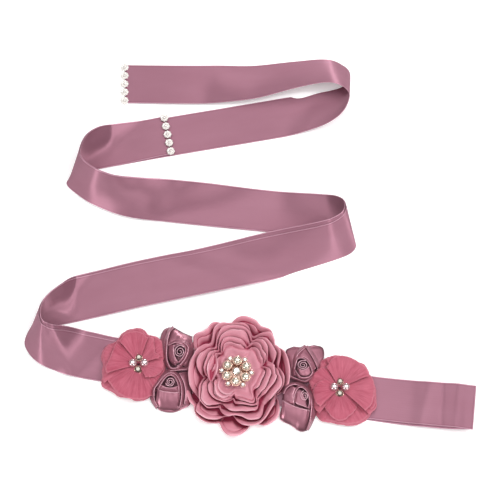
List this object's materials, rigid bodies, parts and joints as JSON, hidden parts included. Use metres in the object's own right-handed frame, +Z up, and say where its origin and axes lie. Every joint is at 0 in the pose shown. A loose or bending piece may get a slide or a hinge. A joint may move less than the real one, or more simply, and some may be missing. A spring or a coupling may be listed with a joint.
{
  "type": "satin sash with cloth flowers",
  "caption": "Dusty-rose satin ribbon sash, doubled and laid zigzag, with a layered satin flower, chiffon flowers, folded rosettes, a pearl brooch and stones on its ends",
  "frame": {"origin": "on the table, on the ribbon's flat underside, under the centre of the big flower", "axes": "+X along the sash's front stretch to its folded end, +Y from that stretch across the table to the loose ends, +Z up from the table"},
  "size_m": [0.4128, 0.3813, 0.0375],
  "materials": {
    "ribbon_satin": "double-faced satin ribbon, soft sheen",
    "petal_satin": "thin satin petals with heat-sealed rims",
    "chiffon": "matt crinkled chiffon",
    "pearl": "cream imitation pearl",
    "crystal": "clear faceted stone, silvered behind",
    "setting": "pale gold-coloured metal setting"
  },
  "bodies": {
    "root": {"brooch_middle_stone": "crystal", "brooch_pearl_1": "pearl", "brooch_pearl_2": "pearl", "brooch_pearl_3": "pearl", "brooch_pearl_4": "pearl", "brooch_pearl_5": "pearl", "brooch_pearl_6": "pearl", "brooch_setting": "setting", "brooch_stone_1": "crystal", "brooch_stone_2": "crystal", "brooch_stone_3": "crystal", "brooch_stone_4": "crystal", "brooch_stone_5": "crystal", "brooch_stone_6": "crystal", "chiffon_left_bead_far": "crystal", "chiffon_left_bead_left": "pearl", "chiffon_left_bead_near": "crystal", "chiffon_left_bead_right": "pearl", "chiffon_left_layer_1": "chiffon", "chiffon_left_layer_2": "chiffon", "chiffon_right_bead_far": "crystal", "chiffon_right_bead_left": "pearl", "chiffon_right_bead_near": "crystal", "chiffon_right_bead_right": "pearl", "chiffon_right_layer_1": "chiffon", "chiffon_right_layer_2": "chiffon", "long_end_stone_1": "crystal", "long_end_stone_2": "crystal", "long_end_stone_3": "crystal", "long_end_stone_4": "crystal", "long_end_stone_5": "crystal", "petals_1": "petal_satin", "petals_2": "petal_satin", "petals_3": "petal_satin", "petals_4": "petal_satin", "petals_5": "petal_satin", "ribbon": "ribbon_satin", "rosette_far_left_folds": "ribbon_satin", "rosette_far_left_roll": "ribbon_satin", "rosette_far_right_folds": "ribbon_satin", "rosette_far_right_roll": "ribbon_satin", "rosette_near_left_folds": "ribbon_satin", "rosette_near_left_roll": "ribbon_satin", "rosette_near_right_folds": "ribbon_satin", "rosette_near_right_roll": "ribbon_satin", "short_end_stone_1": "crystal", "short_end_stone_2": "crystal", "short_end_stone_3": "crystal", "short_end_stone_4": "crystal", "short_end_stone_5": "crystal"}
  },
  "joints": []
}
